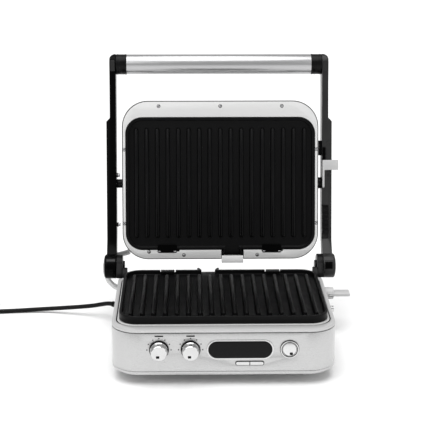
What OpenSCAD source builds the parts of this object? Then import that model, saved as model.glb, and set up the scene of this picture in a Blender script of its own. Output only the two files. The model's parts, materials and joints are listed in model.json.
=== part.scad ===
// Contact grill with two interchangeable ribbed plates, a floating lid on two arms,
// a tubular handle, a front control panel and a rear drip tray.
// X is to the right, Y to the back, Z up. The origin is the middle of the foot plane,
// straight below the middle of the lower plate.

/* [Base] */
// Width of the base
base_w = 320; // [312:1:324]
// Depth of the base, front to back
base_d = 260; // [256:1:264]
// Corner radius of the base, seen from above
base_r = 40; // [34:1:44]
// Height of the underside of the bottom pan
pan_z = 14; // [12:1:16]
// Height of the seam between the bottom pan and the wrap
wrap_z = 22; // [20:1:24]
// Height of the seam between the wrap and the deck
deck_z = 80; // [79:0.5:81]
// Thickness of the deck ring
deck_t = 3; // [2.5:0.5:3]
// Sheet thickness of the wrap
wall = 1.5; // [1.2:0.1:2]

/* [Plates] */
// Width of a cooking plate
plate_w = 300; // [296:1:301]
// Depth of a cooking plate
plate_d = 210; // [206:1:211]
// Corner radius of a cooking plate
plate_r = 26; // [22:1:30]
// Height of the lower plate's rim above the feet
rim_z = 95; // [94:0.5:96]
// Height of a plate's skirt
skirt_h = 11.5; // [10:0.5:12]
// Number of ribs on a plate
ribs = 17; // [13:1:17]
// Distance from rib to rib
rib_pitch = 16.7; // [16:0.1:16.8]
// Length of a rib
rib_l = 175; // [160:1:178]
// Width of a rib
rib_w = 7.5; // [6:0.5:9]

/* [Lid] */
// Height of the closed lid's face above the feet
face_z = 97; // [96.5:0.5:98]
// Width of the lid's bezel
bezel_w = 311; // [308:1:313]
// Front edge of the bezel, closed, forward of the plates' middle
bezel_front = 131; // [129:1:132]
// Rear edge of the bezel, closed, behind the plates' middle
bezel_back = 120; // [118:1:121]
// Corner radius of the bezel
bezel_r = 41; // [38:1:44]
// Thickness of the lid from its face to the top of the dome
lid_h = 47; // [44:1:50]
// Sideways offset of the lid between its arms
lid_x = 1.5; // [0:0.5:1.5]

/* [Arms and handle] */
// Distance of the hinge axis behind the middle of the plates
hinge_y = 131; // [130:1:132]
// Height of the hinge axis
hinge_z = 92; // [91:1:93]
// Angle from closed at which the lid stands at rest
open_deg = 102.5; // [95:0.5:105]
// Radius of the hinge drums
drum_r = 19; // [17:0.5:20]
// Distance of the arms' inner faces from the middle
arm_in = 164; // [163.5:0.5:165]
// Thickness of the arms next to the lid
arm_t = 15.5; // [14:0.5:17]
// Thickness of the arms next to the handle
arm_thin = 10; // [9:0.5:11]
// Height of the arms in profile
arm_h = 28; // [26:1:30]
// Height of the arms' middle line above the feet, closed
arm_z = 118; // [117:1:120]
// Distance of the handle from the hinge axis, along the arms
handle_l = 321; // [316:1:326]
// Diameter of the handle tube
handle_dia = 31.5; // [30:0.5:33]

/* [Controls] */
// Height of the row of knobs
row_z = 54.7; // [52:0.1:56]
// Distance of the left knob left of the middle
knob1_x = -92; // [-94:1:-90]
// Distance of the right knob left of the middle
knob2_x = -47.5; // [-49:0.5:-46]
// Radius of a knob
knob_r = 12.6; // [12:0.1:13]
// How far a knob stands out of the panel
knob_out = 16; // [12:1:18]
// Middle of the display window
disp_x = 22.5; // [22:0.5:23]
// Width of the display window
disp_w = 91; // [88:1:92]
// Height of the display window
disp_h = 26; // [24:1:26]
// Place of the start button
start_x = 92; // [91:1:94]
// Radius of the start button's ring
start_r = 13; // [12:0.5:13.5]
// Middle of the two small buttons
pair_x = 36; // [35:1:37]
// Height of the two small buttons
pair_z = 34; // [33:0.5:34.5]

/* [Cord] */
// Diameter of the mains cord
cord_dia = 7; // [6.5:0.1:7.2]

/* [Hidden] */
$fn = 64;
eps = 0.01;
front_y = -base_d / 2;
back_y = base_d / 2;
top_z = deck_z + deck_t;
latch_x = 82.5;
foot_x = 112;
foot_front = -60;
foot_back = 96;
spout_x = 19;
lid_mid = (bezel_back - bezel_front) / 2;
bezel_d = bezel_front + bezel_back;
pivot_y = 0;
handle_y = hinge_y - handle_l;
step_y = hinge_y - 230;
tray_w = 150;
tray_z = 25;
tray_h = 20;
tray_x = 10;
corner_turn = 50;
relief_z = 28;
relief_l = 28;
relief_r = cord_dia / 2 + 0.3;
corner_x = -base_w / 2 + base_r;
corner_y = back_y - base_r;
lever_y = 95;
lever_z = 58;
button_y = 8;
button_z = 64;
lock_l = 160;
grip_l = 69;
drum_w = 17.6;
conduit_dia = 8.6;
pan_floor = 68;

// Rounded rectangle with its middle at the origin
module rrect(w, d, r) {
    square([w - 2 * r, d], center = true);
    square([w, d - 2 * r], center = true);
    for (sx = [-1, 1], sy = [-1, 1])
        translate([sx * (w / 2 - r), sy * (d / 2 - r)]) circle(r = r);
}

// Flat slab of a rounded rectangle between two heights
module slab(w, d, r, z0, z1) {
    translate([0, 0, z0]) linear_extrude(z1 - z0) rrect(w, d, r);
}

// Pill outline: a rectangle with round ends
module pill(w, h) {
    square([w - h, h], center = true);
    for (s = [-1, 1]) translate([s * (w - h) / 2, 0]) circle(d = h);
}

// Stands an outline drawn in X and Z on the front of the base, y0 to y1
module facing(y0, y1) {
    translate([0, y1, 0]) rotate([90, 0, 0]) linear_extrude(y1 - y0) children();
}

// Extrudes a profile drawn in Y and Z from x0 to x1
module side_profile(x0, x1) {
    translate([x0, 0, 0]) rotate([90, 0, 90]) linear_extrude(x1 - x0) children();
}

// Cylinder along X from x0 to x1
module x_rod(x0, x1, r, y, z) {
    translate([x0, y, z]) rotate([0, 90, 0]) cylinder(r = r, h = x1 - x0);
}

// Cylinder along Y from y0 to y1
module y_rod(y0, y1, r, x, z) {
    translate([x, y0, z]) rotate([-90, 0, 0]) cylinder(r = r, h = y1 - y0);
}

// Turns what is drawn with the lid closed back to the open rest position
module opened() {
    translate([0, hinge_y, hinge_z]) rotate([-open_deg, 0, 0])
        translate([0, -hinge_y, -hinge_z]) children();
}

// The same, with the lid's sideways offset
module on_lid() {
    opened() translate([lid_x, 0, 0]) children();
}

// Stands its children on the rear left corner of the base, pointing out of it
module at_corner(turn, z) {
    translate([corner_x - base_r * sin(turn), corner_y + base_r * cos(turn), z])
        rotate([-90, 0, turn]) children();
}

// ---- Base ------------------------------------------------------------------

// Cut-outs of the front panel, for knobs, display and buttons
module panel_cuts() {
    facing(front_y - 1, front_y + 12) {
        for (x = [knob1_x, knob2_x]) translate([x, row_z]) circle(r = 8);
        translate([disp_x, row_z]) pill(disp_w - 2, disp_h - 2);
        translate([start_x, row_z]) circle(r = start_r - 1.5);
        translate([pair_x, pair_z]) pill(40, 6);
    }
}

module base_wrap() color([0.78, 0.78, 0.77]) difference() {
    slab(base_w, base_d, base_r, wrap_z, deck_z - 1);
    slab(base_w - 2 * wall, base_d - 2 * wall, base_r - wall, wrap_z - 1, deck_z);
    panel_cuts();
    translate([-base_w / 2 + base_r, back_y - wall - 1, wrap_z - 1])
        cube([base_w - 2 * base_r, wall + 2, deck_z]);
    x_rod(base_w / 2 - 10, base_w / 2 + 1, 4.6, button_y, button_z);
    x_rod(base_w / 2 - 10, base_w / 2 + 1, 4.6, lever_y, lever_z);
    at_corner(36, 56) cylinder(r = conduit_dia / 2 + 2.1, h = 24, center = true);
    at_corner(corner_turn, relief_z) cylinder(r = relief_r + 1.4, h = 24, center = true);
}

module deck_ring() color([0.82, 0.82, 0.81]) difference() {
    union() {
        slab(base_w, base_d, base_r, deck_z, top_z - 1);
        slab(base_w - 4, base_d - 4, base_r - 2, deck_z - 1, top_z);
    }
    slab(plate_w + 8.5, plate_d + 13, plate_r + 4, deck_z - 2, top_z + 1);
    for (x = [-latch_x, latch_x, -spout_x])
        translate([x - 20, plate_d / 2, deck_z - 2]) cube([40, 18, deck_t + 4]);
}

module bottom_pan() color([0.72, 0.72, 0.71]) difference() {
    union() {
        slab(base_w - 12, base_d - 12, base_r - 6, pan_z, pan_z + 4);
        slab(base_w, base_d, base_r, pan_z + 4, wrap_z);
    }
    slab(base_w - 15, base_d - 15, base_r - 7.5, pan_z + 1.5, wrap_z + 1);
}

module feet() color([0.12, 0.12, 0.12])
    for (x = [-foot_x, foot_x], y = [foot_front, foot_back]) translate([x, y, 0])
        cylinder(r = 12, h = pan_z);

module rear_panel() color([0.08, 0.08, 0.08]) difference() {
    translate([-base_w / 2 + base_r + 0.2, back_y - 4, wrap_z + 0.2])
        cube([base_w - 2 * base_r - 0.4, 4, deck_z - wrap_z - 1.4]);
    translate([tray_x - tray_w / 2 - 1, back_y - 6, tray_z - 1]) cube([tray_w + 2, 8, tray_h + 2]);
}

// Shallow reflector pan with a lip around the plate; its floor is at z 0
module reflector_pan(h, lip) difference() {
    union() {
        slab(plate_w - 16, plate_d - 16, plate_r - 6, 0, h);
        if (lip) slab(plate_w + 5, plate_d + 9, plate_r + 2, h - 1.2, h);
    }
    slab(plate_w - 19, plate_d - 19, plate_r - 7.5, 1.2, h + 1);
    for (sx = [-1, 1]) translate([sx * 92, 60, -1]) cylinder(r = 3.6, h = 4);
    if (lip) for (x = [-latch_x, latch_x, -spout_x])
        translate([x - 18, plate_d / 2 - 2, h - 3]) cube([36, 20, 5]);
}

module lower_reflector() color([0.75, 0.75, 0.76]) {
    translate([0, 0, pan_floor]) reflector_pan(rim_z - skirt_h - 0.2 - pan_floor, true);
    for (sx = [-1, 1]) translate([sx * 120 - 1, -92, pan_z + 1.5])
        cube([2, 150, pan_floor - pan_z - 1.5 + eps]);
}

// Heating element: two loops of tube with two terminals, lying at a height
module element(z) {
    r = 3.4;
    for (s = [-1, 1]) {
        translate([s * 92, -58, z]) rotate([-90, 0, 0]) cylinder(r = r, h = 118);
        translate([s * 32, -58, z]) rotate([-90, 0, 0]) cylinder(r = r, h = 98);
        translate([s * 62, -58, z]) rotate([0, 0, 180]) rotate_extrude(angle = 180)
            translate([30, 0]) circle(r = r);
    }
    translate([0, 40, z]) rotate_extrude(angle = 180) translate([32, 0]) circle(r = r);
}

module lower_heater() color([0.35, 0.33, 0.32]) {
    element(pan_floor + 9);
    for (s = [-1, 1]) translate([s * 92, 60, 52]) cylinder(r = 3.4, h = pan_floor + 9 - 52);
}

module thermostat() {
    cylinder(r = 9, h = 6);
    for (s = [-1, 1]) translate([s * 6 - 1, -1.5, -6]) cube([2, 3, 6.5]);
}

module lower_thermostat() color([0.85, 0.82, 0.75]) translate([0, 0, pan_floor + 7.5]) thermostat();

// One cooking plate, face up, its rim's top at z 0 and its spout at +Y
module plate() {
    inner_w = plate_w - 9;
    inner_d = plate_d - 9;
    difference() {
        union() {
            slab(plate_w, plate_d, plate_r, -skirt_h, 0);
            translate([-spout_x, plate_d / 2, -skirt_h + 2]) linear_extrude(skirt_h - 2)
                polygon([[-14, -6], [14, -6], [14, 0], [17.5, 9], [-17.5, 9], [-14, 0]]);
        }
        slab(inner_w, inner_d, plate_r - 4.5, -6.5, 1);
        slab(plate_w - 6, plate_d - 6, plate_r - 3, -skirt_h - 1, -skirt_h + 1.5);
        translate([-spout_x, plate_d / 2, -6.5]) linear_extrude(8)
            polygon([[-10.5, -8], [10.5, -8], [10.5, 0], [14.5, 10], [-14.5, 10], [-10.5, 0]]);
        for (s = [-1, 1]) translate([s * latch_x - 11.1, plate_d / 2 - 10, -3.5])
            cube([22.2, 11, 5]);
    }
    for (i = [0 : ribs - 1]) translate([(i - (ribs - 1) / 2) * rib_pitch, -1, -7])
        linear_extrude(5.5) rotate(90) pill(rib_l, rib_w);
}

module lower_plate() color([0.07, 0.07, 0.07]) translate([0, 0, rim_z]) plate();

// Two hooks over the plate's rear edge, drawn for a plate whose rim is at z 0
module hooks() for (s = [-1, 1]) {
    translate([s * latch_x - 10.75, plate_d / 2 - 7.5, -3.2]) cube([21.5, 12.3, 1.6]);
    translate([s * latch_x - 10.75, plate_d / 2 + 0.8, -8]) cube([21.5, 4, 6.4 - eps]);
}

module lower_latch_bar() color([0.1, 0.1, 0.1]) {
    translate([0, 0, rim_z]) hooks();
    for (s = [-1, 1]) translate([s * latch_x - 5, plate_d / 2 + 1.4, 60])
        cube([10, 4, rim_z - 8 - 60 + eps]);
    translate([-latch_x - 5, plate_d / 2 + 1.4, 56]) cube([2 * latch_x + 10, 4, 6 + eps]);
}

module lower_release_button() color([0.8, 0.8, 0.79]) {
    x_rod(base_w / 2 - 8, base_w / 2 + 9, 4.5, button_y, button_z);
    x_rod(base_w / 2 - 12, base_w / 2 - 8 + eps, 6.5, button_y, button_z);
}

module display_trim() color([0.85, 0.85, 0.85]) translate([0, 0, 0]) difference() {
    facing(front_y - 1, front_y) translate([disp_x, row_z]) pill(disp_w + 3.4, disp_h + 3.4);
    facing(front_y - 2, front_y + 1) translate([disp_x, row_z]) pill(disp_w - 0.6, disp_h - 0.6);
}

module display_window() color([0.03, 0.03, 0.04]) {
    facing(front_y - 0.8, front_y) translate([disp_x, row_z]) pill(disp_w - 0.8, disp_h - 0.8);
    facing(front_y, front_y + 4) translate([disp_x, row_z]) pill(disp_w - 2.4, disp_h - 2.4);
}

module display_module() color([0.25, 0.3, 0.28])
    translate([disp_x - 36, front_y + 4.2, row_z - 9]) cube([72, 4.6, 18]);

module control_board() color([0.1, 0.35, 0.2])
    translate([-112, front_y + 20, 30]) cube([224, 1.8, 44]);

module small_button(side) {
    x0 = side < 0 ? 0 : 20;
    intersection() {
        facing(front_y - 1.4, front_y + 3) translate([pair_x, pair_z]) pill(39, 5.2);
        translate([pair_x - 19.5 + x0, front_y - 3, pair_z - 5]) cube([19, 10, 10]);
    }
    facing(front_y + 3 - eps, front_y + 4.5)
        translate([pair_x + (side < 0 ? -9.6 : 9.6), pair_z]) square([16, 9.6], center = true);
}

module left_small_button() color([0.82, 0.82, 0.82]) small_button(-1);

module right_small_button() color([0.82, 0.82, 0.82]) small_button(1);

module start_ring() color([0.85, 0.85, 0.85]) difference() {
    union() {
        y_rod(front_y - 2.4, front_y, start_r, start_x, row_z);
        y_rod(front_y - 0.5, front_y + 6, start_r - 1.6, start_x, row_z);
    }
    y_rod(front_y - 4, front_y + 8, start_r - 3.2, start_x, row_z);
}

module start_button() color([0.85, 0.85, 0.84]) {
    y_rod(front_y - 1.8, front_y + 7, start_r - 3.5, start_x, row_z);
    y_rod(front_y + 7 - eps, front_y + 9, start_r - 1, start_x, row_z);
}

module knob_rings() color([0.15, 0.15, 0.15]) for (x = [knob1_x, knob2_x]) difference() {
    y_rod(front_y - 1.6, front_y, knob_r + 1.2, x, row_z);
    y_rod(front_y - 3, front_y + 1, 7.6, x, row_z);
}

module rotary_encoders() color([0.3, 0.3, 0.32]) for (x = [knob1_x, knob2_x]) {
    translate([x - 8, front_y + 9, row_z - 8]) cube([16, 10.8, 16]);
    y_rod(front_y + 4, front_y + 9 + eps, 5, x, row_z);
    y_rod(front_y - 12, front_y + 4 + eps, 3, x, row_z);
}

module knob(x) difference() {
    union() {
        y_rod(front_y - 5, front_y - 1.8, knob_r, x, row_z);
        y_rod(front_y - knob_out, front_y - 5 + eps, knob_r - 1.2, x, row_z);
    }
    y_rod(front_y - 13, front_y, 3.05, x, row_z);
}

module left_knob() color([0.84, 0.84, 0.84]) knob(knob1_x);

module right_knob() color([0.84, 0.84, 0.84]) knob(knob2_x);

// Bracket between a rear corner of the deck and its hinge, drawn on the right
module hinge_bracket() difference() {
    foot_z = top_z + 0.4;
    union() {
        side_profile(154, 163.4) {
            translate([hinge_y, hinge_z]) circle(r = drum_r);
            polygon([[98, foot_z], [101, foot_z + 7], [hinge_y - 16, hinge_z + 10],
                [hinge_y, hinge_z], [hinge_y - 8, foot_z]]);
        }
        translate([132, 107, foot_z]) cube([22 + eps, 7, 3.6]);
        side_profile(146, 154 + eps) polygon([[100, foot_z], [106, foot_z + 7],
            [hinge_y - 17, hinge_z + 4], [hinge_y - 12, hinge_z - 6], [hinge_y - 17, foot_z]]);
    }
    x_rod(140, 170, 6.05, hinge_y, hinge_z);
}

module left_hinge_bracket() color([0.07, 0.07, 0.07]) mirror([1, 0, 0]) hinge_bracket();

module right_hinge_bracket() color([0.07, 0.07, 0.07]) hinge_bracket();

module hinge_pins() color([0.7, 0.7, 0.72]) for (s = [0, 1]) mirror([s, 0, 0]) {
    x_rod(151, 176, 6, hinge_y, hinge_z);
    x_rod(150.8, 153.8, 9, hinge_y, hinge_z);
}

module flat_release_lever() color([0.8, 0.8, 0.8]) {
    x_rod(base_w / 2 + 4, base_w / 2 + 18, 9.5, lever_y, lever_z);
    x_rod(base_w / 2 - 10, base_w / 2 + 4 + eps, 4, lever_y, lever_z);
    x_rod(base_w / 2 - 13, base_w / 2 - 10 + eps, 7, lever_y, lever_z);
    translate([base_w / 2 + 10, lever_y - 10, lever_z - 2.5]) cube([33.5, 20, 5]);
}

module drip_tray() color([0.1, 0.1, 0.1]) difference() {
    union() {
        translate([tray_x - tray_w / 2, 0, tray_z]) cube([tray_w, back_y - 0.5, tray_h]);
        translate([tray_x - tray_w / 2 - 6, back_y + 0.3, tray_z - 2.5])
            cube([tray_w + 12, 5, tray_h + 5.5]);
        translate([tray_x - tray_w / 2, back_y - 0.5 - eps, tray_z]) cube([tray_w, 1, tray_h]);
        translate([tray_x - 30, back_y + 5, tray_z + 8]) cube([60, 8.5, 4]);
    }
    translate([tray_x - tray_w / 2 + 2, 2, tray_z + 2]) cube([tray_w - 4, back_y - 4, tray_h]);
}

// ---- Yoke: arms and handle -------------------------------------------------

// Profile of an arm in Y and Z, closed
module arm_outline() {
    translate([handle_y, arm_z]) circle(r = 16.5);
    translate([hinge_y, hinge_z]) circle(r = drum_r);
    polygon([[handle_y, arm_z - 16.5], [handle_y + 34, arm_z - arm_h / 2],
        [hinge_y - 42, arm_z - arm_h / 2], [hinge_y - drum_r, hinge_z],
        [hinge_y + drum_r * 0.5, hinge_z + drum_r * 0.866], [hinge_y - 52, arm_z + arm_h / 2],
        [handle_y + 34, arm_z + arm_h / 2], [handle_y, arm_z + 16.5]]);
}

// Outline of an arm in X and Y: thin at the handle with a round corner, thick past the step
module arm_plan() {
    thin_x = arm_in + arm_thin;
    thick_x = arm_in + arm_t;
    end_y = handle_y - 16.2;
    translate([thin_x - 9, end_y + 9]) circle(r = 9);
    polygon([[arm_in - 1, end_y], [thin_x - 9, end_y], [thin_x, end_y + 9],
        [thin_x, step_y - 5.5], [thick_x, step_y], [thick_x, hinge_y + drum_r + 1],
        [arm_in - 1, hinge_y + drum_r + 1]]);
}

// One arm, closed, on the right-hand side
module arm() difference() {
    union() {
        intersection() {
            side_profile(arm_in, arm_in + arm_t) arm_outline();
            translate([0, 0, hinge_z - 30]) linear_extrude(80) arm_plan();
        }
        x_rod(arm_in, arm_in + drum_w, drum_r, hinge_y, hinge_z);
    }
    x_rod(arm_in - 1, arm_in + 12.1, 6.05, hinge_y, hinge_z);
    x_rod(arm_in - 1, arm_in + 8, 5.05, pivot_y, arm_z);
    x_rod(arm_in - 1, arm_in + 6, 8.05, handle_y, arm_z);
}

module left_arm() color([0.06, 0.06, 0.06]) opened() mirror([1, 0, 0]) arm();

module right_arm() color([0.06, 0.06, 0.06]) opened() difference() {
    arm();
    translate([arm_in - 1, hinge_y - 188, arm_z - 4]) cube([arm_t + 2, 49.7, 8]);
    translate([arm_in - 1, hinge_y - grip_l - 27, arm_z - arm_h / 2 - 1]) cube([11.2, 54, 5]);
}

module handle_tube() color([0.74, 0.74, 0.75]) opened() difference() {
    x_rod(-147, 147, handle_dia / 2, handle_y, arm_z);
    x_rod(-148, 148, handle_dia / 2 - 2, handle_y, arm_z);
}

module handle_collars() color([0.06, 0.06, 0.06]) opened() for (s = [0, 1]) mirror([s, 0, 0]) {
    x_rod(147, arm_in - eps, 16, handle_y, arm_z);
    x_rod(135, 147 + eps, handle_dia / 2 - 2.05, handle_y, arm_z);
    x_rod(arm_in - 2, arm_in + 5.9, 8, handle_y, arm_z);
}

module hinge_caps() color([0.05, 0.05, 0.05]) opened() for (s = [0, 1]) mirror([s, 0, 0])
    translate([arm_in + drum_w, hinge_y, hinge_z]) rotate([0, 90, 0]) {
        cylinder(r = drum_r - 1.5, h = 0.8);
        translate([0, 0, 0.8 - eps]) cylinder(r1 = drum_r - 1.5, r2 = drum_r - 7, h = 1.6);
    }

module lid_lock_tab() color([0.82, 0.82, 0.82]) opened() {
    low_z = arm_z - arm_h / 2 - 2.6;
    translate([arm_in + 0.5, hinge_y - lock_l, arm_z - 3.7]) {
        translate([0, -8, 0]) cube([26, 16, 7.4]);
        translate([0, 8 - eps, 0]) cube([4, 11.5, 7.4]);
    }
    translate([arm_in + arm_t + 0.6, hinge_y - lock_l - 8, low_z])
        cube([9.9, 16, arm_z - 3.7 - low_z + eps]);
    translate([arm_in + 0.5, hinge_y - lock_l - 8, low_z]) {
        cube([arm_t + 0.1 + eps, 16, 2.2]);
        cube([3.4, 44, 2.2]);
    }
}

module hinge_lock_slider() color([0.1, 0.1, 0.1]) opened()
    translate([arm_in + 0.2, hinge_y - grip_l - 24, arm_z - arm_h / 2 - 1.5]) {
        cube([9.6, 42, 5.2]);
        for (i = [0 : 5]) translate([0, 3 + i * 6.6, -1.4]) cube([9.6, 3, 1.4 + eps]);
    }

module lid_pivot_bushes() color([0.1, 0.1, 0.1]) opened() {
    difference() {
        x_rod(158.3, arm_in - 0.1, 9, pivot_y, arm_z);
        x_rod(156, arm_in + 1, 5.05, pivot_y, arm_z);
    }
    difference() {
        x_rod(-arm_in + 0.1, -155.4, 7, pivot_y, arm_z);
        x_rod(-arm_in - 1, -155, 5.05, pivot_y, arm_z);
    }
}

// ---- Lid -------------------------------------------------------------------

// Outline of the lid grown or shrunk by g
module lid_outline(g) {
    translate([0, lid_mid]) rrect(bezel_w + 2 * g, bezel_d + 2 * g, bezel_r + g);
}

module lid_slice(g, z) {
    translate([0, 0, face_z + z]) linear_extrude(0.5) lid_outline(g);
}

module lid_shell() color([0.78, 0.78, 0.77]) on_lid() difference() {
    hull() {
        lid_slice(0.2, 1.5);
        lid_slice(1, 8);
        lid_slice(0.5, lid_h - 14);
        lid_slice(-6, lid_h - 5);
        lid_slice(-22, lid_h - 0.5);
    }
    hull() {
        lid_slice(-1.4, 1);
        lid_slice(-1, lid_h - 15.5);
        lid_slice(-7.5, lid_h - 7);
        lid_slice(-23, lid_h - 2);
    }
    for (s = [-1, 1]) x_rod(s * 158 - 8, s * 158 + 8, 5.6, pivot_y, arm_z);
    translate([spout_x - 18.6, plate_d / 2 + 4, face_z - 1]) cube([37.2, 22, 16]);
}

module lid_bezel() color([0.86, 0.86, 0.85]) on_lid() difference() {
    union() {
        translate([0, 0, face_z + 0.4]) linear_extrude(3) lid_outline(-1.7);
        translate([0, 0, face_z]) linear_extrude(1.4) lid_outline(-0.9);
    }
    slab(plate_w + 1.6, plate_d + 1.6, plate_r + 0.8, face_z - 1, face_z + 5);
    for (s = [-1, 1]) {
        translate([s * latch_x - 17, plate_d / 2 - 6, face_z - 1]) cube([34, 9.2, 6]);
        translate([s * latch_x - 12, plate_d / 2, face_z + 1.4]) cube([24, 20, 5]);
    }
    translate([spout_x, plate_d / 2 - 2, face_z - 1]) linear_extrude(6)
        polygon([[-15.5, 0], [15.5, 0], [17.6, 2.5], [17.9, 5], [18.2, 20], [-18.2, 20],
            [-17.9, 5], [-17.6, 2.5]]);
}

// Places of the bezel's screws in X and Y, closed
screw_places = [for (x = [-97.7, 0, 97.7]) [x, -123],
    for (s = [-1, 1], y = [-54.5, 63]) [s * 152.6, y], [-114, 108.3], [-58.5, 113.7], [58.5, 113.7]];

module bezel_screws() color([0.6, 0.6, 0.62]) on_lid() for (p = screw_places)
    translate([p[0], p[1], face_z - 0.5]) difference() {
        cylinder(r = 2.1, h = 0.5);
        for (a = [0, 90]) rotate(a) translate([-1.4, -0.25, -1]) cube([2.8, 0.5, 1.3]);
    }

module upper_reflector() color([0.75, 0.75, 0.76]) on_lid()
    translate([0, 0, face_z + 28]) mirror([0, 0, 1]) reflector_pan(13, false);

module upper_heater() color([0.35, 0.33, 0.32]) on_lid() {
    element(face_z + 18);
    for (s = [-1, 1]) translate([s * 92, 60, face_z + 18]) cylinder(r = 3.4, h = 14);
}

module upper_thermostat() color([0.85, 0.82, 0.75]) on_lid()
    translate([0, 0, face_z + 20.5]) mirror([0, 0, 1]) thermostat();

module upper_plate() color([0.07, 0.07, 0.07]) on_lid()
    translate([0, 0, face_z]) rotate([0, 180, 0]) plate();

module upper_latch_bar() color([0.1, 0.1, 0.1]) on_lid() {
    translate([0, 0, face_z]) mirror([0, 0, 1]) hooks();
    for (s = [-1, 1]) translate([s * latch_x - 5, plate_d / 2 + 1.4, face_z + 8 - eps])
        cube([10, 4, 8]);
    translate([-latch_x - 5, plate_d / 2 + 1.4, face_z + 16 - 2 * eps])
        cube([2 * latch_x + 10, 4, 5]);
}

module upper_spout() color([0.85, 0.85, 0.86]) on_lid()
    translate([spout_x, plate_d / 2, face_z - 1]) {
        translate([0, 0, 12]) linear_extrude(1.2)
            polygon([[-16, 4], [16, 4], [17.5, 19], [-17.5, 19]]);
        for (s = [-1, 1]) translate([s * 16.6 - 0.6, 10, 1]) cube([1.2, 11.5, 12]);
        translate([-17.2, 9.8, 1]) cube([34.4, 11.7, 1.2]);
    }

module lid_pivots() color([0.7, 0.7, 0.72]) opened() for (s = [0, 1]) mirror([s, 0, 0]) {
    x_rod(149, arm_in + 7.9, 5, pivot_y, arm_z);
    x_rod(145, 149 + eps, 8, pivot_y, arm_z);
}

// ---- Heater lead from base to lid -------------------------------------------

// Point on a smooth curve through four neighbouring points, t from 0 to 1
function smooth(a, b, c, d, t) = 0.5 * (2 * b + (c - a) * t + (2 * a - 5 * b + 4 * c - d) * t * t
    + (3 * b - a - 3 * c + d) * t * t * t);

// Smooth curve through all the points, with n steps between two of them
function curve(p, n) = let (m = len(p) - 1)
    [for (i = [0 : m - 1], j = [0 : n - 1])
        smooth(p[max(i - 1, 0)], p[i], p[i + 1], p[min(i + 2, m)], j / n), p[m]];

function unit(v) = v / norm(v);

// Direction of a curve at point i
function along(c, i) = unit(c[min(i + 1, len(c) - 1)] - c[max(i - 1, 0)]);

// What is left of v at right angles to t
function across(v, t) = unit(v - (v * t) * t);

// Frames carried along a curve without twisting
function carried(c, v, i = 0) = i == len(c) ? [] :
    let (w = across(v, along(c, i))) concat([w], carried(c, w, i + 1));

// Closed tube of radius r swept along curve c with the given number of sides
module swept(c, r, sides) {
    n = len(c);
    w = carried(c, abs(along(c, 0)[2]) > 0.9 ? [1, 0, 0] : [0, 0, 1]);
    points = [for (i = [0 : n - 1], k = [0 : sides - 1])
        let (a = 360 * k / sides, u = w[i], v = cross(along(c, i), w[i]))
            c[i] + r * (cos(a) * u + sin(a) * v)];
    walls = [for (i = [0 : n - 2], k = [0 : sides - 1]) let (k2 = (k + 1) % sides)
        [i * sides + k, (i + 1) * sides + k, (i + 1) * sides + k2, i * sides + k2]];
    ends = [[for (k = [0 : sides - 1]) k],
        [for (k = [sides - 1 : -1 : 0]) (n - 1) * sides + k]];
    polyhedron(points, concat(walls, ends));
}

// Middle line of the heater lead, out of the base's rear corner, behind the drum, into the lid
conduit_route = [[-142, 119.7, 56], [-147.5, 127.3, 55], [-155, 136.5, 53], [-164.5, 146, 51.5],
    [-174, 153, 55.5], [-181, 159, 64], [-184, 164, 77], [-182, 168, 88], [-174, 169.5, 95.5],
    [-163, 168.5, 99.5], [-153, 167, 102.5], [-145, 165, 105.5]];

module heater_conduit() color([0.8, 0.8, 0.82]) swept(curve(conduit_route, 4), conduit_dia / 2, 12);

module conduit_glands() color([0.12, 0.12, 0.12]) at_corner(36, 56) difference() {
    union() {
        translate([0, 0, -3]) cylinder(r = conduit_dia / 2 + 2, h = 6);
        translate([0, 0, 0.9]) cylinder(r = conduit_dia / 2 + 3.4, h = 2.1);
    }
    translate([0, 0, -4]) cylinder(r = conduit_dia / 2 + 0.9, h = 8);
}

// ---- Mains cord ---------------------------------------------------------------

// Middle line of the cord from the strain relief to the coil
cord_route = [[-172, 133.7, 28], [-180, 140.3, 26.2], [-190, 147, 22.6], [-204, 152.5, 18.4],
    [-220, 157.5, 15.1], [-238, 162.5, 12], [-256, 167, 9.3], [-275, 170.8, 6.9],
    [-294, 172.4, 5.3], [-323, 171.5, 3.9], [-358, 168, 3.7], [-385, 166, 4.1], [-412, 165.5, 4.4]];
coil_x = -412;
coil_y = 207;
coil_in = 31;
coil_out = 45;
plug_z = 11.4;

// Middle line of the cord from the coil to the plug
tail_route = [[coil_x - 34.5, coil_y, plug_z], [coil_x - 34.5, coil_y + 12, plug_z],
    [coil_x - 34.5, coil_y + 24, plug_z], [coil_x - 34.5, coil_y + 36, plug_z]];

module cord_relief() color([0.1, 0.1, 0.1]) at_corner(corner_turn, relief_z) difference() {
    union() {
        translate([0, 0, -4]) cylinder(r = relief_r + 1.3, h = 5);
        translate([0, 0, 0.8]) cylinder(r = relief_r + 2.9, h = 3);
        translate([0, 0, 3.8 - eps]) cylinder(r1 = relief_r + 2, r2 = relief_r + 0.6, h = relief_l - 3.8);
    }
    for (i = [0 : 3]) translate([0, 0, 8 + i * 5]) difference() {
        cylinder(r = 12, h = 1.8);
        translate([0, 0, -1]) cylinder(r = cord_dia / 2 + 0.2, h = 4);
    }
}

module mains_cord() color([0.05, 0.05, 0.05]) {
    swept(curve(cord_route, 2), cord_dia / 2, 10);
    swept(tail_route, cord_dia / 2, 10);
}

module cord_coil() color([0.05, 0.05, 0.05]) translate([coil_x, coil_y, 0]) rotate_extrude()
    translate([coil_in, 0.9]) square([coil_out - coil_in, 2 * cord_dia]);

module cord_tie() color([0.2, 0.2, 0.2]) translate([coil_x, coil_y, 0]) difference() {
    translate([coil_in - 1.4, -4, 0.05]) cube([coil_out - coil_in + 2.4, 8, 2 * cord_dia + 1.75]);
    translate([coil_in - 0.5, -5, 0.85]) cube([coil_out - coil_in + 0.6, 10, 2 * cord_dia + 0.1]);
}

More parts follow.
